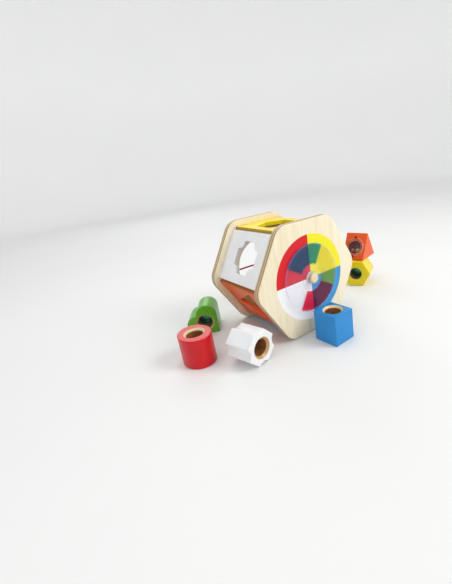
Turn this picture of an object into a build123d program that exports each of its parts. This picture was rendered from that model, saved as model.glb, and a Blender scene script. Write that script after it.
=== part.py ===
from build123d import *
import os
from math import sqrt, sin, cos, radians

os.makedirs("parts", exist_ok=True)

# ---- driving dimensions, mm --------------------------------------------------------------------
# The drum lies along Y and rests on a flat side at z = 0. Its wheel end faces -Y, and the origin is
# in the middle of the front plate's bottom edge. Depths are counted from the front plate's outer face.
flats = 160.0            # end plates, across flats
plate_t = 10.0
plate_corner_r = 24.0
plate_soft = 1.6         # softened plate edges
depth = 124.0            # over both plates
panel_apothem = 71.0     # centre to the outer face of a panel
panel_t = 5.5
panel_w = 75.4
panel_soft = 0.4         # broken outer edges
groove = 2.5             # how far a panel end sits in its plate
groove_gap = 0.15
centre_z = flats / 2
panel_len = depth - 2 * plate_t + 2 * groove
mid_depth = depth / 2
front_y = -plate_t / 2

# fits
play = 0.1               # pieces that move on each other
fit = 0.05               # pieces that are set into each other
on_face = 0.01           # an edge this close to a plane lies on it

# back opening and its elastic cord
opening_r = 44.5
cord_r = 1.25
cord_socket = 7.0
cord_rise = 2.8          # above the drum axis

# spinner at the wheel end
disc_r = 48.0
disc_t = 3.0
disc_gap = 1.5           # disc back to plate
washer_t = 1.45
washer_r = 9.0
film_t = 0.3
film_edge = 0.8          # film stops short of the rim and of the ring
film_gap = 0.1           # degrees left clear at each side of a film
hub_r = 4.5
hub_head_r = 6.9
hub_head_t = 3.4
hub_round = 1.8          # rounded pin head
hub_lead = 0.6
boss_r = 8.9             # raised boss under the pin head
disc_rim = 3.4
disc_raise = 0.8
disc_soft = 0.35
disc_back_soft = 0.5
ring_r = 18.8            # outside of the raised ring around the hub

# posting holes
fit_gap = 1.75           # hole outline outside the block outline
hex_flats = 47.0
square_side = 44.0
scoop_r = 11.5
tri_side = 55.0
rect_w, rect_h = 36.0, 42.0
rect_deep = 38.0
heart_side = 30.5
oval_a, oval_b = 21.0, 25.5
block_len = 40.0
tall_len = 42.0          # blue and orange blocks
yellow_len = 44.0
heart_shift = 3.4        # bore towards the lobes

# look-through bores
bore_r = 11.0
seat_r = 10.0            # narrower bore behind the window
window_t = 2.0
window_depth = 19.0
edge_r = 1.5             # softened block edges
end_r = 1.2              # and around its two ends

# rattle pocket of the orange block
pocket_r = 12.0
pocket_deep = 11.0
cover_r = 17.5
cover_t = 2.0
cover_down = 1.5         # below the middle of the sloping face
bead_r = 4.5
pin_r = 0.8
pin_head_r = 2.1
pin_deep = 6.0
pin_head_t = 1.0
pin_head_round = 0.6
pin_at = cover_r + pin_r + play
cover_soft = 0.5
bead_apart = 1.0

# places of the blocks on the floor: x, depth, turn about Z in degrees
red_at = (-153.4, 63.7, 0.3)
green_at = (-112.9, 122.8, -31.5)
white_at = (-102.3, -11.9, 13.1)
blue_at = (-1.1, -37.5, 1.3)
yellow_at = (163.7, 58.4, -61.9)
orange_at = (167.7, 68.4, -77.0)


def upright(deep):
    """Plane facing -Y at one depth: its x is +X, its y is +Z, origin on the drum axis."""
    return Plane(origin=(0, front_y + deep, centre_z), x_dir=(1, 0, 0), z_dir=(0, -1, 0))


def side_plane(angle, apothem):
    """Plane on one drum side, normal outwards: its x runs around the drum, its y along +Y."""
    a = radians(angle)
    return Plane(
        origin=(apothem * cos(a), front_y + mid_depth, centre_z + apothem * sin(a)),
        x_dir=(sin(a), 0, -cos(a)),
        z_dir=(cos(a), 0, sin(a)),
    )


def lying(at, height):
    """Upright plane at a block's place, its origin at the given height, facing the block's own front."""
    x, y, turn = at
    t = radians(turn)
    return Plane(origin=(x, front_y + y, height), x_dir=(cos(t), sin(t), 0), z_dir=(sin(t), -cos(t), 0))


def standing(at, height):
    """Level plane facing up on top of a block that stands at its place."""
    x, y, turn = at
    t = radians(turn)
    return Plane(origin=(x, front_y + y, height), x_dir=(cos(t), sin(t), 0), z_dir=(0, 0, 1))


def at_height(plane, height=0.0):
    """Filter for the edges whose middle lies at that height over the plane."""
    return lambda e: abs(plane.to_local_coords(e.center()).Z - height) < on_face


# ---- profiles shared by a block and its hole ----------------------------------------------------
with BuildSketch() as hexagon:
    RegularPolygon(radius=hex_flats / 2, side_count=6, major_radius=False)

with BuildSketch() as square:
    Rectangle(square_side, square_side)
    with GridLocations(square_side, square_side, 2, 2):
        Circle(scoop_r, mode=Mode.SUBTRACT)

with BuildSketch() as triangle:
    RegularPolygon(radius=tri_side / sqrt(3), side_count=3)

with BuildSketch() as heart:
    Rectangle(heart_side, heart_side)
    with Locations((0, heart_side / 2), (-heart_side / 2, 0)):
        Circle(heart_side / 2)

with BuildSketch() as oval:
    Ellipse(oval_a, oval_b)

with BuildSketch() as rectangle:
    Rectangle(rect_w, rect_h)

with BuildSketch() as post:
    Rectangle(rect_w, rect_deep)

# ---- end plates -----------------------------------------------------------------------------------
with BuildPart() as front_plate:
    with BuildSketch(upright(plate_t)) as outline:
        RegularPolygon(radius=flats / 2, side_count=6, major_radius=False)
        fillet(outline.vertices(), plate_corner_r)
    extrude(amount=plate_t)
    fillet(front_plate.edges().group_by(Axis.Y)[0] + front_plate.edges().group_by(Axis.Y)[-1], plate_soft)
    with BuildSketch(upright(plate_t)):
        with PolarLocations(panel_apothem - panel_t / 2, 6, start_angle=30):
            Rectangle(panel_t + 2 * groove_gap, panel_w + 2 * groove_gap)
    extrude(amount=groove, mode=Mode.SUBTRACT)
    with Locations(upright(0)):
        Hole(radius=hub_r)
front_plate.part.label = "front_plate"
export_step(front_plate.part, "parts/front_plate.step")

cord_half = sqrt(opening_r**2 - cord_rise**2) + cord_socket
cord_plane = Plane(
    origin=(-cord_half, front_y + depth - plate_t / 2, centre_z + cord_rise), x_dir=(0, 1, 0), z_dir=(1, 0, 0)
)

with BuildPart() as back_plate:
    with BuildSketch(upright(depth)) as outline:
        RegularPolygon(radius=flats / 2, side_count=6, major_radius=False)
        fillet(outline.vertices(), plate_corner_r)
        Circle(opening_r, mode=Mode.SUBTRACT)
    extrude(amount=plate_t)
    fillet(back_plate.edges().group_by(Axis.Y)[0] + back_plate.edges().group_by(Axis.Y)[-1], plate_soft)
    with BuildSketch(upright(depth - plate_t + groove)):
        with PolarLocations(panel_apothem - panel_t / 2, 6, start_angle=30):
            Rectangle(panel_t + 2 * groove_gap, panel_w + 2 * groove_gap)
    extrude(amount=groove, mode=Mode.SUBTRACT)
    with BuildSketch(cord_plane):
        Circle(cord_r + fit)
    extrude(amount=2 * cord_half, mode=Mode.SUBTRACT)
back_plate.part.label = "back_plate"
export_step(back_plate.part, "parts/back_plate.step")

# elastic cord, stretched across the opening between two drilled sockets
with BuildPart() as elastic_cord:
    with BuildSketch(cord_plane):
        Circle(cord_r)
    extrude(amount=2 * cord_half)
elastic_cord.part.label = "elastic_cord"
export_step(elastic_cord.part, "parts/elastic_cord.step")

# ---- six side panels ------------------------------------------------------------------------------
# hole outline, angle of the panel around the drum, turn of the hole, corner style of the hole
panels = {
    "yellow": (hexagon, 90, 30, Kind.INTERSECTION),
    "white": (square, 150, 0, Kind.ARC),
    "orange": (triangle, 210, 90, Kind.INTERSECTION),
    "blue": (rectangle, 270, 0, Kind.INTERSECTION),
    "green": (heart, 330, 135, Kind.ARC),
    "red": (oval, 30, 0, Kind.ARC),
}
for colour, (shape, angle, turn, corner) in panels.items():
    outer = side_plane(angle, panel_apothem)
    with BuildPart() as panel:
        with BuildSketch(outer):
            Rectangle(panel_w, panel_len)
        extrude(amount=-panel_t)
        chamfer(panel.edges().filter_by(at_height(outer)), panel_soft)
        with BuildSketch(outer):
            if shape is oval:
                Ellipse(oval_a + fit_gap, oval_b + fit_gap)
            else:
                add(shape.sketch, rotation=turn)
                offset(amount=fit_gap, kind=corner, mode=Mode.REPLACE)
        extrude(amount=-panel_t, mode=Mode.SUBTRACT)
    panel.part.label = "panel_" + colour
    export_step(panel.part, "parts/panel_" + colour + ".step")

# ---- spinner --------------------------------------------------------------------------------------
with BuildPart() as hub_washer:
    with BuildSketch(upright(0)):
        Circle(washer_r)
        Circle(hub_r + fit, mode=Mode.SUBTRACT)
    extrude(amount=washer_t)
hub_washer.part.label = "hub_washer"
export_step(hub_washer.part, "parts/hub_washer.step")

disc_front = disc_gap + disc_t
with BuildPart() as hub_pin:
    with BuildSketch(upright(plate_t)):
        Circle(hub_r)
    extrude(amount=plate_t + disc_front + play)
    with BuildSketch(upright(-disc_front - play)):
        Circle(hub_head_r)
    extrude(amount=hub_head_t)
    fillet(hub_pin.edges().group_by(Axis.Y)[0], hub_round)
    chamfer(hub_pin.edges().group_by(Axis.Y)[-1], hub_lead)
hub_pin.part.label = "hub_pin"
export_step(hub_pin.part, "parts/hub_pin.step")

# clear disc with a raised rim, a raised ring around the hub and a raised boss under the pin head
with BuildPart() as colour_disc:
    with BuildSketch(upright(-disc_gap)):
        Circle(disc_r)
    extrude(amount=disc_t - disc_raise)
    with BuildSketch(upright(-disc_front + disc_raise)):
        Circle(disc_r)
        Circle(disc_r - disc_rim, mode=Mode.SUBTRACT)
        Circle(ring_r)
        Circle(ring_r - disc_rim, mode=Mode.SUBTRACT)
        Circle(boss_r)
    extrude(amount=disc_raise)
    with Locations(upright(0)):
        Hole(radius=hub_r + play)
    for layer, soft in ((0, disc_soft), (-1, disc_back_soft)):
        wide = colour_disc.edges().group_by(Axis.Y)[layer].filter_by(lambda e: e.radius > hub_head_r)
        fillet(wide, soft)
colour_disc.part.label = "colour_disc"
export_step(colour_disc.part, "parts/colour_disc.step")

# tinted films bonded to the back of the disc, a quarter turn each
films = {"blue": 60, "yellow": -30, "red": -120}
for colour, start in films.items():
    with BuildPart() as film:
        with BuildSketch(upright(film_t - disc_gap)):
            with BuildLine():
                inner = CenterArc((0, 0), ring_r + film_edge, start + film_gap, 90 - 2 * film_gap)
                rim = CenterArc((0, 0), disc_r - film_edge, start + film_gap, 90 - 2 * film_gap)
                Line(inner @ 0, rim @ 0)
                Line(inner @ 1, rim @ 1)
            make_face()
        extrude(amount=film_t)
    film.part.label = "disc_film_" + colour
    export_step(film.part, "parts/disc_film_" + colour + ".step")

# ---- look-through blocks --------------------------------------------------------------------------
# pose, place, profile, turn of the profile, bore to profile centre, length, mouth width
blocks = {
    "red": (standing, red_at, oval, 0, 0, block_len, 2.6),
    "green": (lying, green_at, heart, 0, heart_shift, block_len, 2.4),
    "white": (lying, white_at, square, 45, 0, block_len, 3.0),
    "blue": (standing, blue_at, post, 0, 0, tall_len, 2.6),
    "yellow": (lying, yellow_at, hexagon, 0, 0, yellow_len, 1.3),
}
for colour, (pose, at, shape, turn, shift, length, mouth) in blocks.items():
    with BuildSketch() as profile:
        with Locations((shift, -shift)):
            add(shape.sketch, rotation=turn)
        if shape is not oval:
            fillet(profile.vertices(), edge_r)
    front = pose(at, length if pose is standing else -profile.sketch.bounding_box().min.Y)
    with BuildPart() as block:
        with BuildSketch(front):
            add(profile.sketch)
        extrude(amount=-length)
        rims = block.edges().filter_by(at_height(front))
        feet = block.edges().filter_by(at_height(front, -length))
        fillet(rims + feet, end_r)
        with Locations(front):
            Hole(radius=seat_r)
        with BuildSketch(front):
            Circle(bore_r)
        extrude(amount=-window_depth - window_t, mode=Mode.SUBTRACT)
        with BuildSketch(front):
            Circle(bore_r + mouth)
        extrude(amount=-mouth, taper=45, mode=Mode.SUBTRACT)
        with BuildSketch(Plane(front.offset(-length).origin, x_dir=front.x_dir, z_dir=-front.z_dir)):
            Circle(seat_r + mouth)
        extrude(amount=-mouth, taper=45, mode=Mode.SUBTRACT)
    block.part.label = colour + "_block"
    export_step(block.part, "parts/" + colour + "_block.step")
    with BuildPart() as window:
        with BuildSketch(front.offset(-window_depth - window_t)):
            Circle(bore_r - fit)
        extrude(amount=window_t)
    window.part.label = colour + "_window"
    export_step(window.part, "parts/" + colour + "_window.step")

# ---- orange rattle block, lying on a long side on top of the yellow block ---------------------------
foot = lying(orange_at, hex_flats)
end = Plane(origin=foot.origin, x_dir=-foot.z_dir, z_dir=foot.x_dir)
uphill = Vector(0, 0, 1) * cos(radians(30)) - foot.z_dir * sin(radians(30))
slope = Plane(
    origin=foot.origin + uphill * (tri_side / 2 - cover_down),
    x_dir=foot.x_dir,
    z_dir=foot.x_dir.cross(uphill),
)

with BuildPart() as orange_block:
    with BuildSketch(end) as profile:
        Polygon((0, 0), (tri_side, 0), (tri_side / 2, tri_side * sqrt(3) / 2), align=None)
        fillet(profile.vertices(), edge_r)
    extrude(amount=tall_len / 2, both=True)
    caps = orange_block.edges().filter_by(at_height(end, tall_len / 2))
    caps += orange_block.edges().filter_by(at_height(end, -tall_len / 2))
    fillet(caps, end_r)
    with BuildSketch(slope):
        Circle(pocket_r)
    extrude(amount=-pocket_deep, mode=Mode.SUBTRACT)
    with BuildSketch(slope):
        with GridLocations(0, 2 * pin_at, 1, 2):
            Circle(pin_r)
    extrude(amount=-pin_deep, mode=Mode.SUBTRACT)
orange_block.part.label = "orange_block"
export_step(orange_block.part, "parts/orange_block.step")

with BuildPart() as orange_cover:
    with BuildSketch(slope):
        Circle(cover_r)
    extrude(amount=cover_t)
    chamfer(orange_cover.edges().filter_by(at_height(slope, cover_t)), cover_soft)
orange_cover.part.label = "orange_cover"
export_step(orange_cover.part, "parts/orange_cover.step")

with BuildPart() as cover_pins:
    with BuildSketch(slope.offset(-pin_deep)):
        with GridLocations(0, 2 * pin_at, 1, 2):
            Circle(pin_r)
    extrude(amount=pin_deep + cover_t)
    with BuildSketch(slope.offset(cover_t)):
        with GridLocations(0, 2 * pin_at, 1, 2):
            Circle(pin_head_r)
    extrude(amount=pin_head_t)
    fillet(cover_pins.edges().filter_by(at_height(slope, cover_t + pin_head_t)), pin_head_round)
cover_pins.part.label = "cover_pins"
export_step(cover_pins.part, "parts/cover_pins.step")

bead_place = bead_r + bead_apart / 2
for colour, side in {"red": -1, "green": 1}.items():
    with BuildPart() as bead:
        with Locations(slope.offset(bead_r - pocket_deep)):
            with Locations((side * bead_place, -bead_place)):
                Sphere(bead_r)
    bead.part.label = "bead_" + colour
    export_step(bead.part, "parts/bead_" + colour + ".step")
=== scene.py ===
from math import cos, sin, radians

import bpy
import numpy as np
from mathutils import Matrix, Vector


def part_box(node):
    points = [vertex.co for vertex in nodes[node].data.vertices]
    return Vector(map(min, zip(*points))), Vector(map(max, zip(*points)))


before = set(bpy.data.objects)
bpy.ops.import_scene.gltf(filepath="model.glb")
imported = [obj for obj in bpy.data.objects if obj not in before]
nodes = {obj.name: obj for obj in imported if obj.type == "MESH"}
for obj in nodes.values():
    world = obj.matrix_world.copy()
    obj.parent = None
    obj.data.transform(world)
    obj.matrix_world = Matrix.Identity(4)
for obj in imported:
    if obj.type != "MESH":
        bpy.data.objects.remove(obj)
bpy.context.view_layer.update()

MM = 0.001

# ---- facts read from the frame -----------------------------------------------------------------
plate_low, plate_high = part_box("front_plate")
back_low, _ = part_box("back_plate")
axis_x = (plate_low.x + plate_high.x) / 2
axis_z = (plate_low.z + plate_high.z) / 2
plate_t = plate_high.y - plate_low.y

SIDES = {"yellow": 90, "white": 150, "orange": 210, "blue": 270, "green": 330, "red": 30}


def srgb(r, g, b):
    """Linear colour with alpha from display values of 0 to 255."""
    def one(v):
        v /= 255
        return v / 12.92 if v <= 0.04045 else ((v + 0.055) / 1.055) ** 2.4
    return one(r), one(g), one(b), 1.0


PAINT = {
    "yellow": srgb(244, 218, 8),
    "white": srgb(240, 241, 243),
    "orange": srgb(234, 88, 8),
    "blue": srgb(28, 136, 208),
    "green": srgb(92, 172, 38),
    "red": srgb(206, 4, 20),
}


# ---- node helpers ------------------------------------------------------------------------------
class Net:
    """One material's node tree, with short names for the nodes used here."""

    def __init__(self, name):
        self.mat = bpy.data.materials.new(name)
        self.mat.use_nodes = True
        self.tree = self.mat.node_tree
        self.tree.nodes.clear()
        self.out = self.add("ShaderNodeOutputMaterial")
        coord = self.add("ShaderNodeTexCoord")
        self.place = coord.outputs["Object"]
        self.normal = coord.outputs["Normal"]

    def add(self, kind, **props):
        node = self.tree.nodes.new(kind)
        for k, v in props.items():
            setattr(node, k, v)
        return node

    def put(self, socket, value):
        if isinstance(value, bpy.types.NodeSocket):
            self.tree.links.new(value, socket)
        elif value is not None:
            socket.default_value = value

    def math(self, op, a, b=None):
        n = self.add("ShaderNodeMath", operation=op)
        self.put(n.inputs[0], a)
        self.put(n.inputs[1], b)
        return n.outputs[0]

    def vec(self, op, a, b=None):
        n = self.add("ShaderNodeVectorMath", operation=op)
        self.put(n.inputs[0], a)
        if b is not None:
            self.put(n.inputs[3 if op == "SCALE" else 1], b)
        return n.outputs["Value" if op in ("DOT_PRODUCT", "LENGTH") else "Vector"]

    def split(self, v):
        n = self.add("ShaderNodeSeparateXYZ")
        self.put(n.inputs[0], v)
        return n.outputs

    def mix(self, fac, a, b, blend="MIX"):
        n = self.add("ShaderNodeMix", data_type="RGBA", blend_type=blend)
        self.put(n.inputs[0], fac)
        self.put(n.inputs[6], a)
        self.put(n.inputs[7], b)
        return n.outputs[2]

    def band(self, value, low, high):
        """0 below low, 1 above high, smooth between."""
        n = self.add("ShaderNodeMapRange", interpolation_type="SMOOTHSTEP")
        self.put(n.inputs[0], value)
        self.put(n.inputs[1], low)
        self.put(n.inputs[2], high)
        return n.outputs[0]

    def under(self, value, limit, soft):
        """1 where value is under limit, 0 over it."""
        return self.math("SUBTRACT", 1.0, self.band(value, limit - soft, limit + soft))

    def noise(self, scale, detail=3.0, rough=0.55, stretch=None, distortion=0.0):
        at = self.place
        if stretch:
            m = self.add("ShaderNodeMapping")
            self.put(m.inputs[0], at)
            m.inputs["Scale"].default_value = stretch
            at = m.outputs[0]
        n = self.add("ShaderNodeTexNoise")
        self.put(n.inputs["Vector"], at)
        n.inputs["Scale"].default_value = scale
        n.inputs["Detail"].default_value = detail
        n.inputs["Roughness"].default_value = rough
        n.inputs["Distortion"].default_value = distortion
        return n.outputs["Fac"]

    def ramp(self, fac, *stops):
        n = self.add("ShaderNodeValToRGB")
        self.put(n.inputs[0], fac)
        while len(n.color_ramp.elements) < len(stops):
            n.color_ramp.elements.new(0.5)
        for e, (at, colour) in zip(n.color_ramp.elements, stops):
            e.position, e.color = at, colour
        return n.outputs[0]

    def bump(self, height, distance, strength=1.0, after=None):
        n = self.add("ShaderNodeBump")
        n.inputs["Strength"].default_value = strength
        n.inputs["Distance"].default_value = distance
        self.put(n.inputs["Height"], height)
        if after is not None:
            self.put(n.inputs["Normal"], after)
        return n.outputs[0]

    def surface(self, colour, roughness=0.4, bump=None, **sockets):
        p = self.add("ShaderNodeBsdfPrincipled")
        self.put(p.inputs["Base Color"], colour)
        self.put(p.inputs["Roughness"], roughness)
        if bump is not None:
            self.put(p.inputs["Normal"], bump)
        for k, v in sockets.items():
            self.put(p.inputs[k.replace("_", " ")], v)
        return p.outputs[0]

    def done(self, shader):
        self.put(self.out.inputs[0], shader)
        return self.mat

    def edge_highlight_and_wear(self, size):
        """1 on sharp outer edges, for a painted highlight and small rubs there."""
        bevel = self.add("ShaderNodeBevel", samples=4)
        bevel.inputs["Radius"].default_value = size
        geo = self.add("ShaderNodeNewGeometry")
        lean = self.vec("DOT_PRODUCT", bevel.outputs[0], geo.outputs["Normal"])
        return self.band(self.math("SUBTRACT", 1.0, lean), 0.01, 0.16)


def shade(colour, k):
    return tuple(c * k for c in colour[:3]) + (1.0,)


# ---- wood --------------------------------------------------------------------------------------
def wood_colour(net, light, dark, along=(1, 1, 1), scale=1.0):
    """Long soft streaks, fine pores and slow drift; along is short on the grain's axis."""
    streak = net.noise(150 * scale, 4, 0.6, along, 0.6)
    drift = net.noise(22 * scale, 2, 0.5, along)
    pores = net.noise(900 * scale, 2, 0.7, along)
    tone = net.math("ADD", net.math("MULTIPLY", streak, 0.65), net.math("MULTIPLY", drift, 0.35))
    base = net.ramp(tone, (0.30, dark), (0.52, light), (0.75, shade(light, 1.06)))
    dots = net.band(pores, 0.64, 0.74)
    return net.mix(net.math("MULTIPLY", dots, 0.35), base, shade(dark, 0.72)), pores


BIRCH = srgb(241, 230, 202)
BIRCH_DARK = srgb(230, 213, 176)
PLY_DARK = srgb(168, 142, 108)
# The two browns below are the bores' bare wood painted much darker than BARE: painted shade down the
# bores.
BORE_WOOD_SHADED = srgb(160, 108, 62)
BORE_WOOD_SHADED_DARK = srgb(104, 62, 32)
BARE = srgb(222, 180, 120)
BARE_DARK = srgb(180, 130, 80)
PLIES = 5


def ply_edge(net, y_low, thick):
    """Plies across the plate's thickness, each other one end grain and darker."""
    y = net.split(net.place)[1]
    wobble = net.math("MULTIPLY", net.noise(60, 2), 0.08)
    from_face = net.math("SUBTRACT", y, y_low)
    t = net.math("ADD", net.math("MULTIPLY", from_face, PLIES / thick / 2), wobble)
    t = net.math("SUBTRACT", t, 0.04)
    wave = net.math("PINGPONG", t, 0.5)
    dark = net.band(wave, 0.17, 0.33)
    grain, _ = wood_colour(net, srgb(214, 194, 156), srgb(198, 172, 130), (1, 3, 1), 0.5)
    fibres = net.noise(1400, 2, 0.7)
    deep = net.mix(net.math("MULTIPLY", fibres, 0.7), PLY_DARK, srgb(146, 118, 86))
    return net.mix(dark, grain, deep)


def plate_material(name, y_low, thick, painter):
    net = Net(name)
    face, pores = wood_colour(net, BIRCH, BIRCH_DARK, (1.0, 1.0, 0.09))
    edge = ply_edge(net, y_low, thick)
    ny = net.math("ABSOLUTE", net.split(net.normal)[1])
    on_face = net.band(ny, 0.55, 0.8)
    bare = net.mix(on_face, edge, face)
    colour, painted = painter(net, bare)
    rough = net.math("SUBTRACT", 0.46, net.math("MULTIPLY", painted, 0.14))
    skin = net.math("ADD", net.math("MULTIPLY", pores, 0.4), net.math("MULTIPLY", painted, 1.6))
    height = net.bump(skin, 0.06 * MM, 0.35)
    return net.done(net.surface(colour, rough, height, Coat_Weight=0.10, Coat_Roughness=0.22,
                                Specular_IOR_Level=0.3))


def polar(net):
    """Across and up from the drum's axis, and the distance from it."""
    x, _, z = net.split(net.place)
    x = net.math("SUBTRACT", x, axis_x)
    z = net.math("SUBTRACT", z, axis_z)
    r = net.math("SQRT", net.math("ADD", net.math("MULTIPLY", x, x), net.math("MULTIPLY", z, z)))
    return x, z, r


def sideways(net, x, z, a):
    """Distance, to either hand, from the middle of the side that faces angle a."""
    along = net.math("SUBTRACT", net.math("MULTIPLY", z, cos(a)), net.math("MULTIPLY", x, sin(a)))
    return net.math("ABSOLUTE", along)


CIRCLE_R = 60.4 * MM
EDGE_SOFT = 0.12 * MM


def quarter_circle(net, bare):
    """Painted circle behind the spinner: a different colour in each quarter."""
    x, z, r = polar(net)
    right = net.band(x, -EDGE_SOFT, EDGE_SOFT)
    top = net.band(z, -EDGE_SOFT, EDGE_SOFT)
    upper = net.mix(right, srgb(214, 6, 22), srgb(242, 232, 20))
    lower = net.mix(right, srgb(248, 248, 248), srgb(44, 148, 208))
    colour = net.mix(top, lower, upper)
    mottle = net.noise(260, 3)
    colour = net.mix(net.math("MULTIPLY", mottle, 0.10), colour, shade(BIRCH, 0.75), "MULTIPLY")
    front = net.band(net.math("MULTIPLY", net.split(net.normal)[1], -1.0), 0.6, 0.8)
    mask = net.math("MULTIPLY", net.under(r, CIRCLE_R, EDGE_SOFT), front)
    return net.mix(mask, bare, colour), mask


BAR_AT = 67.0 * MM                  # from the axis to the middle of a bar
BAR_HALF = (17.0 * MM, 2.1 * MM)    # half its length and half its width
RING = (46.6 * MM, 48.6 * MM)       # inner and outer radius


def colour_bars(net, bare):
    """A white ring round the opening, and by each side a bar in the colour of that side."""
    x, z, r = polar(net)
    back = net.band(net.split(net.normal)[1], 0.6, 0.8)
    past_inner = net.band(r, RING[0] - EDGE_SOFT, RING[0] + EDGE_SOFT)
    ring = net.math("MULTIPLY", net.under(r, RING[1], EDGE_SOFT), past_inner)
    ring = net.math("MULTIPLY", ring, back)
    colour = net.mix(ring, bare, srgb(246, 246, 244))
    total = ring
    for side, angle in SIDES.items():
        a = radians(angle)
        out = net.math("ADD", net.math("MULTIPLY", x, cos(a)), net.math("MULTIPLY", z, sin(a)))
        far = net.math("ABSOLUTE", net.math("SUBTRACT", out, BAR_AT))
        past = net.math("SUBTRACT", sideways(net, x, z, a), BAR_HALF[0] - BAR_HALF[1])
        reach = net.math("MAXIMUM", past, 0.0)
        d = net.math("ADD", net.math("MULTIPLY", far, far), net.math("MULTIPLY", reach, reach))
        d = net.math("SQRT", d)
        bar = net.math("MULTIPLY", net.under(d, BAR_HALF[1], EDGE_SOFT), back)
        colour = net.mix(bar, colour, PAINT[side])
        total = net.math("MAXIMUM", total, bar)
    return colour, total


# ---- painted wood ------------------------------------------------------------------------------
# width of the edge band that gets the painted highlight and the rubs
EDGE_HIGHLIGHT_AND_RUB = 0.9 * MM


def paint_over(net, colour, bare, wear=0.35):
    """Lacquer paint: slow drift in depth of colour, a painted highlight that whitens the sharp edges,
    and a few rubs to the wood there.
    """
    drift = net.noise(45, 3)
    deep = net.mix(net.band(drift, 0.3, 0.7), shade(colour, 0.96), shade(colour, 1.02))
    fine = net.noise(700, 2)
    deep = net.mix(net.math("MULTIPLY", fine, 0.10), deep, shade(colour, 0.80))
    edge = net.edge_highlight_and_wear(EDGE_HIGHLIGHT_AND_RUB)
    patchy = net.band(net.noise(170, 4), 0.52, 0.66)
    # painted highlight: the sharp edges are mixed halfway towards white
    thin = net.mix(net.math("MULTIPLY", edge, 0.35), deep, net.mix(0.5, colour, (1, 1, 1, 1)))
    rub = net.math("MULTIPLY", net.math("MULTIPLY", edge, patchy), wear)
    return net.mix(net.math("MULTIPLY", rub, 0.5), thin, bare)


def paint_bump(net):
    """Fine orange peel over slow unevenness."""
    broad = net.bump(net.noise(90, 2), 0.12 * MM, 0.15)
    return net.bump(net.noise(650, 3), 0.08 * MM, 0.25, broad)


def lacquer(net, colour, base=0.24, Coat_Weight=0.2, Coat_Roughness=0.12):
    """The painted surface: slightly uneven gloss under a thin coat."""
    rough = net.math("ADD", base, net.math("MULTIPLY", net.noise(120, 3), 0.14))
    return net.done(net.surface(colour, rough, paint_bump(net), Coat_Weight=Coat_Weight,
                                Coat_Roughness=Coat_Roughness, Specular_IOR_Level=0.3))


CUT_AT = (37.0 * MM, 37.3 * MM)     # sideways reach at which a panel's cut edge begins


def panel_material(colour_name, angle):
    """Painted outside and in its hole, bare wood inside; the long cut edges are a darker mix of paint
    and wood.
    """
    net = Net("panel_paint_" + colour_name)
    a = radians(angle)
    facing = net.vec("DOT_PRODUCT", net.normal, (cos(a), 0, sin(a)))
    x, z, _ = polar(net)
    along = sideways(net, x, z, a)
    bare, _ = wood_colour(net, srgb(214, 170, 112), srgb(176, 126, 74), (1, 0.09, 1))
    colour = paint_over(net, PAINT[colour_name], bare, 0.4)
    cut = net.mix(0.45, shade(PAINT[colour_name], 0.55), srgb(190, 140, 70))
    colour = net.mix(net.band(along, *CUT_AT), colour, cut)
    colour = net.mix(net.under(facing, -0.6, 0.1), colour, bare)
    return lacquer(net, colour, 0.30, Coat_Weight=0.15, Coat_Roughness=0.18)


MOUTH_R = 14.4 * MM        # just past the widest sloped mouth of a bore
BORE_R = 11.25 * MM        # just past a bore's wall
POCKET_R = 12.2 * MM       # just past the pocket's wall
POCKET_REACH = 14 * MM     # from the cover's middle to past the pocket's floor
RING_SOFT = 0.05 * MM


def principal_axis(node):
    """Centre and thin direction of a disc-shaped node."""
    co = np.array([v.co for v in nodes[node].data.vertices])
    low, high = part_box(node)
    _, directions = np.linalg.eigh(np.cov((co - co.mean(0)).T))
    return (low + high) / 2, Vector(directions[:, 0]).normalized()


def round_axis(net, centre, thin):
    """Distance of the surface from an axis, and along it from the centre."""
    rel = net.vec("SUBTRACT", net.place, tuple(centre))
    t = net.vec("DOT_PRODUCT", rel, tuple(thin))
    square = net.math("SUBTRACT", net.vec("DOT_PRODUCT", rel, rel), net.math("MULTIPLY", t, t))
    return net.math("SQRT", net.math("MAXIMUM", square, 0.0)), t


def block_material(colour_name, ring_colour):
    """Painted block; the mouth of its bore is bare or painted, and the bore's wall is bare wood
    painted dark brown, a painted shade down the bore.
    """
    centre, thin = principal_axis(colour_name + "_window")
    net = Net("block_paint_" + colour_name)
    r, _ = round_axis(net, centre, thin)
    lean = net.math("ABSOLUTE", net.vec("DOT_PRODUCT", net.normal, tuple(thin)))
    bare, _ = wood_colour(net, BARE, BARE_DARK, (1, 1, 0.12))
    shaded_bore_wood, _ = wood_colour(net, BORE_WOOD_SHADED, BORE_WOOD_SHADED_DARK, (1, 1, 1), 0.8)
    colour = paint_over(net, PAINT[colour_name], bare)
    near = net.under(r, MOUTH_R, RING_SOFT)
    sloped = net.math("MULTIPLY", net.band(lean, 0.3, 0.4), net.under(lean, 0.9, 0.03))
    ring = net.math("MULTIPLY", near, sloped)
    ring_grain = net.mix(net.noise(500, 3), ring_colour, shade(ring_colour, 0.86))
    colour = net.mix(ring, colour, ring_grain)
    # painted shade: the bore's wall gets the dark brown wood
    shaded_bore = net.math("MULTIPLY", net.under(r, BORE_R, RING_SOFT), net.under(lean, 0.3, 0.1))
    colour = net.mix(shaded_bore, colour, shaded_bore_wood)
    return lacquer(net, colour)


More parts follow.
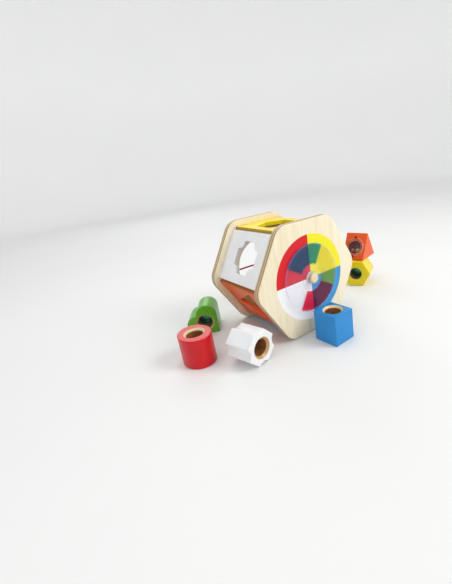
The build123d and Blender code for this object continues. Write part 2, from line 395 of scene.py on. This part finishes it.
def orange_material():
    """Painted block with a pocket of bare wood, coloured dark red, behind the clear cover."""
    centre, thin = principal_axis("orange_cover")
    net = Net("block_paint_orange")
    r, t = round_axis(net, centre, thin)
    bare, _ = wood_colour(net, BARE, BARE_DARK, (1, 1, 0.12))
    pocket_dark_red, _ = wood_colour(net, srgb(128, 30, 28), srgb(84, 14, 16))
    colour = paint_over(net, PAINT["orange"], bare)
    deep = net.math("MULTIPLY", net.under(r, POCKET_R, RING_SOFT),
                    net.under(net.math("ABSOLUTE", t), POCKET_REACH, 2 * RING_SOFT))
    colour = net.mix(deep, colour, pocket_dark_red)
    return lacquer(net, colour)


def gloss_paint(name, colour):
    net = Net(name)
    deep = net.mix(net.band(net.noise(300, 3), 0.3, 0.7), shade(colour, 0.8), colour)
    fine = net.bump(net.noise(800, 2), 0.05 * MM, 0.3)
    return net.done(net.surface(deep, 0.16, fine, Coat_Weight=0.8, Coat_Roughness=0.05))


# ---- clear and tinted plastic ------------------------------------------------------------------
PLASTIC_IOR = 1.45


def clear_material(name, tint, own, solid, rough=0.04, gloss=1.0, facing=None, edge=0.0, film=None):
    """See-through plastic: tint and gloss at the wall a ray enters by, and a little of its own colour.

    facing is the direction of its flat faces: steps and rims between them get more of its own colour,
    a painted highlight, as edge says.
    A film is bonded on by its front face, so all its tint is on its free face, further along Y.
    """
    net = Net(name)
    through = net.add("ShaderNodeBsdfTransparent")
    cloudy = net.noise(180, 3)
    geometry = net.add("ShaderNodeNewGeometry")
    back = geometry.outputs["Backfacing"]
    outside = net.math("SUBTRACT", 1.0, back)
    tinted = outside
    if film:
        low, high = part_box(film)
        tinted = net.band(net.split(net.place)[1], low.y, high.y)
    through_colour = net.mix(net.band(cloudy, 0.35, 0.7), tint, shade(tint, 0.97))
    net.put(through.inputs[0], net.mix(tinted, (1, 1, 1, 1), through_colour))
    body = net.add("ShaderNodeBsdfDiffuse")
    body.inputs[0].default_value = own
    join = net.add("ShaderNodeMixShader")
    share = solid
    if facing is not None:
        lean = net.math("ABSOLUTE", net.vec("DOT_PRODUCT", net.normal, tuple(facing)))
        # painted highlight on the steps and rims, standing in for light bent there
        share = net.math("ADD", solid, net.math("MULTIPLY", net.under(lean, 0.93, 0.05), edge))
    net.put(join.inputs[0], net.math("MULTIPLY", tinted, share))
    net.put(join.inputs[1], through.outputs[0])
    net.put(join.inputs[2], body.outputs[0])
    shine = net.add("ShaderNodeBsdfGlossy")
    shine.inputs["Roughness"].default_value = rough
    fine = net.bump(net.noise(500, 3), 0.03 * MM, 0.15, geometry.outputs["True Normal"])
    net.put(shine.inputs["Normal"], fine)
    fresnel = net.add("ShaderNodeFresnel")
    fresnel.inputs["IOR"].default_value = PLASTIC_IOR
    net.put(fresnel.inputs["Normal"], fine)
    both = net.add("ShaderNodeMixShader")
    mirror = net.math("MULTIPLY", fresnel.outputs[0], gloss)
    net.put(both.inputs[0], net.math("MULTIPLY", mirror, outside))
    net.put(both.inputs[1], join.outputs[0])
    net.put(both.inputs[2], shine.outputs[0])
    return net.done(both.outputs[0])


# ---- cord, washer, pins ------------------------------------------------------------------------
def cord_material():
    """Woven sleeve: two crossing sets of slanted threads."""
    net = Net("braided_cord")
    x, y, z = net.split(net.place)
    low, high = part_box("elastic_cord")
    up = net.math("SUBTRACT", z, (low.z + high.z) / 2)
    side = net.math("SUBTRACT", y, (low.y + high.y) / 2)
    turn = net.math("ARCTAN2", up, side)
    sets = []
    for way in (1, -1):
        slant = net.math("ADD", net.math("MULTIPLY", x, 2200.0), net.math("MULTIPLY", turn, 5.0 * way))
        sets.append(net.math("ABSOLUTE", net.math("SINE", slant)))
    weave = net.math("MAXIMUM", *sets)
    # the pits between the threads are painted darker red: painted shade in the grooves of the weave
    colour = net.mix(weave, srgb(120, 10, 16), srgb(208, 26, 34))
    return net.done(net.surface(colour, 0.8, net.bump(weave, 0.2 * MM, 0.8), Sheen_Weight=0.3))


def plain_detail(name, light, dark, rough, scale, depth, **sockets):
    """One plain stuff, mottled between two tones; depth is that of its fine bumps."""
    net = Net(name)
    n = net.noise(scale, 4)
    colour = net.mix(net.band(n, 0.3, 0.7), dark, light)
    return net.done(net.surface(colour, rough, net.bump(n, depth, 0.4), **sockets))


def pin_wood():
    """End grain: growth rings round the pin's centre and fine pores."""
    net = Net("hub_pin_wood")
    _, _, r = polar(net)
    drift = net.math("MULTIPLY", net.noise(160, 3), 9.0)
    rings = net.math("SINE", net.math("ADD", net.math("MULTIPLY", r, 5200.0), drift))
    colour = net.mix(net.band(rings, -0.6, 1.0), srgb(238, 222, 182), srgb(224, 200, 150))
    pores = net.math("MULTIPLY", net.band(net.noise(1600, 2), 0.6, 0.7), 0.4)
    colour = net.mix(pores, colour, srgb(168, 128, 82))
    fine = net.bump(net.noise(900, 2), 0.06 * MM, 0.5)
    return net.done(net.surface(colour, 0.42, fine, Coat_Weight=0.25, Coat_Roughness=0.2))


def give(node, material):
    slots = nodes[node].data.materials
    slots.clear()
    slots.append(material)


give("front_plate", plate_material("front_plywood", plate_low.y, plate_t, quarter_circle))
give("back_plate", plate_material("back_plywood", back_low.y, plate_t, colour_bars))
for side, angle in SIDES.items():
    give("panel_" + side, panel_material(side, angle))
give("elastic_cord", cord_material())
give("hub_washer", plain_detail("nylon_washer", srgb(232, 232, 226), srgb(214, 214, 206),
                                0.45, 300, 0.1 * MM))
give("hub_pin", pin_wood())
give("colour_disc", clear_material("clear_disc", (0.99, 0.99, 1.0, 1), (0.45, 0.36, 1.0, 1), 0.035,
                                   rough=0.06, gloss=0.7, facing=(0, 1, 0), edge=0.3))

# The tint that passes, the plastic's own colour, and how much of its own colour shows
FILMS = {
    "blue": ((0.14, 0.64, 0.92, 1), (0.02, 0.22, 0.42, 1), 0.18),
    "yellow": ((1.0, 0.97, 0.24, 1), (0.85, 0.72, 0.02, 1), 0.08),
    "red": ((0.99, 0.11, 0.19, 1), (0.80, 0.02, 0.10, 1), 0.10),
}
for name, film in FILMS.items():
    node = "disc_film_" + name
    give(node, clear_material("film_" + name, *film, rough=0.08, gloss=0.0, film=node))

# The red and blue blocks' mouths: their bare wood painted lighter than BARE, a painted highlight.
RING_WOOD_LIT = srgb(236, 214, 166)
TAN = srgb(206, 160, 104)
give("red_block", block_material("red", RING_WOOD_LIT))
give("blue_block", block_material("blue", RING_WOOD_LIT))
give("green_block", block_material("green", TAN))
give("white_block", block_material("white", TAN))
give("yellow_block", block_material("yellow", srgb(232, 206, 60)))
give("orange_block", orange_material())
CLEAR_PANE = ((0.80, 0.84, 0.84, 1), (0.6, 0.62, 0.62, 1), 0.12)
GREEN_PANE = ((0.03, 0.30, 0.16, 1), (0.005, 0.06, 0.035, 1), 0.35)
PANES = {"red": CLEAR_PANE, "blue": CLEAR_PANE, "white": CLEAR_PANE,
         "green": GREEN_PANE, "yellow": GREEN_PANE}
for name, pane in PANES.items():
    give(name + "_window", clear_material("window_" + name, *pane, rough=0.03))
give("orange_cover", clear_material("clear_cover", (0.96, 0.97, 0.97, 1), (0.8, 0.8, 0.8, 1), 0.02,
                                    facing=principal_axis("orange_cover")[1], edge=0.45))
give("cover_pins", plain_detail("dark_pins", srgb(120, 60, 50), srgb(70, 28, 24),
                                0.35, 900, 0.05 * MM, Metallic=0.8))
give("bead_red", gloss_paint("bead_red_paint", srgb(200, 24, 36)))
give("bead_green", gloss_paint("bead_green_paint", srgb(120, 190, 70)))

# ---- floor, light, camera ----------------------------------------------------------------------
FLAT_R, WALL_R, WALL_H = 2.6, 3.8, 4.2    # metres


def floor_mesh():
    """A round floor whose rim sweeps up into a wall, so there is no horizon from any side."""
    rings = [(0.0, 0.0), (0.4, 0.0), (1.2, 0.0), (FLAT_R, 0.0)]
    steps = 14
    for i in range(1, steps + 1):
        a = radians(90 * i / steps)
        rings.append((FLAT_R + (WALL_R - FLAT_R) * sin(a), (WALL_R - FLAT_R) * (1 - cos(a))))
    rings.append((WALL_R, WALL_H))
    around = 96
    verts, faces = [(0, 0, 0)], []
    for r, z in rings[1:]:
        for k in range(around):
            a = radians(360 * k / around)
            verts.append((r * cos(a), r * sin(a), z))
    for k in range(around):
        faces.append((0, 1 + k, 1 + (k + 1) % around))
    for j in range(len(rings) - 2):
        for k in range(around):
            a, b = 1 + j * around + k, 1 + j * around + (k + 1) % around
            faces.append((a, a + around, b + around, b))
    mesh = bpy.data.meshes.new("floor")
    mesh.from_pydata(verts, [], faces)
    mesh.polygons.foreach_set("use_smooth", [True] * len(faces))
    return mesh


floor = bpy.data.objects.new("floor", floor_mesh())
floor.location.z = -0.2 * MM    # just clear of the undersides that rest on it
bpy.context.scene.collection.objects.link(floor)
net = Net("pale_floor")
tone = net.mix(net.noise(3, 3), srgb(238, 239, 238), srgb(232, 233, 233))
far = net.band(net.vec("LENGTH", net.place), 0.8, 3.6)    # the sweep glows a little, so it stays pale
floor.data.materials.append(net.done(net.surface(
    tone, 0.55, net.bump(net.noise(400, 2), 0.1 * MM, 0.1), Specular_IOR_Level=0.2,
    Emission_Color=(1, 1, 1, 1), Emission_Strength=net.math("MULTIPLY", far, 0.25))))


def lamp(name, at, toward, size, power, colour=(1, 1, 1)):
    data = bpy.data.lights.new(name, "AREA")
    data.shape, data.size, data.energy, data.color = "DISK", size, power, colour
    obj = bpy.data.objects.new(name, data)
    obj.location = at
    obj.rotation_euler = (Vector(toward) - Vector(at)).to_track_quat("-Z", "Y").to_euler()
    bpy.context.scene.collection.objects.link(obj)


middle = (0.0, 0.04, 0.07)
lamp("key", (0.75, -1.05, 1.15), middle, 0.8, 14.0, (1.0, 0.985, 0.96))
lamp("top", (-0.1, 0.25, 1.6), middle, 1.3, 8)
lamp("fill", (-1.4, -0.5, 0.8), middle, 1.2, 1.4, (0.95, 0.975, 1.0))
lamp("rim", (0.5, 1.5, 1.0), middle, 1.0, 4)

world = bpy.data.worlds.new("studio")
bpy.context.scene.world = world
world.use_nodes = True
world.node_tree.nodes["Background"].inputs[0].default_value = (1, 1, 1, 1)
world.node_tree.nodes["Background"].inputs[1].default_value = 0.28
bpy.context.scene.view_settings.view_transform = "Standard"

# The camera: turned to the right of the drum's axis, looking down, a little rolled
WIDTH, HEIGHT = 452, 584
CAM_AT = Vector((-282.6, -318.9, 230.5)) * MM
TURN, DOWN, ROLL = radians(38.11), radians(18.98), radians(-6.94)
FOCAL_PX = 324.9
CENTRE_PX = (290, 276)

look = Vector((sin(TURN) * cos(DOWN), cos(TURN) * cos(DOWN), -sin(DOWN)))
right = Vector((cos(TURN), -sin(TURN), 0))
up = right.cross(look)
right, up = right * cos(ROLL) + up * sin(ROLL), up * cos(ROLL) - right * sin(ROLL)
data = bpy.data.cameras.new("camera")
data.sensor_fit = "HORIZONTAL"
data.sensor_width = 36
data.lens = FOCAL_PX * data.sensor_width / WIDTH
data.shift_x = (WIDTH / 2 - CENTRE_PX[0]) / WIDTH
data.shift_y = (CENTRE_PX[1] - HEIGHT / 2) / WIDTH
data.clip_start, data.clip_end = 0.01, 50
camera = bpy.data.objects.new("camera", data)
camera.matrix_world = Matrix.Translation(CAM_AT) @ Matrix((right, up, -look)).transposed().to_4x4()
bpy.context.scene.collection.objects.link(camera)
bpy.context.scene.camera = camera
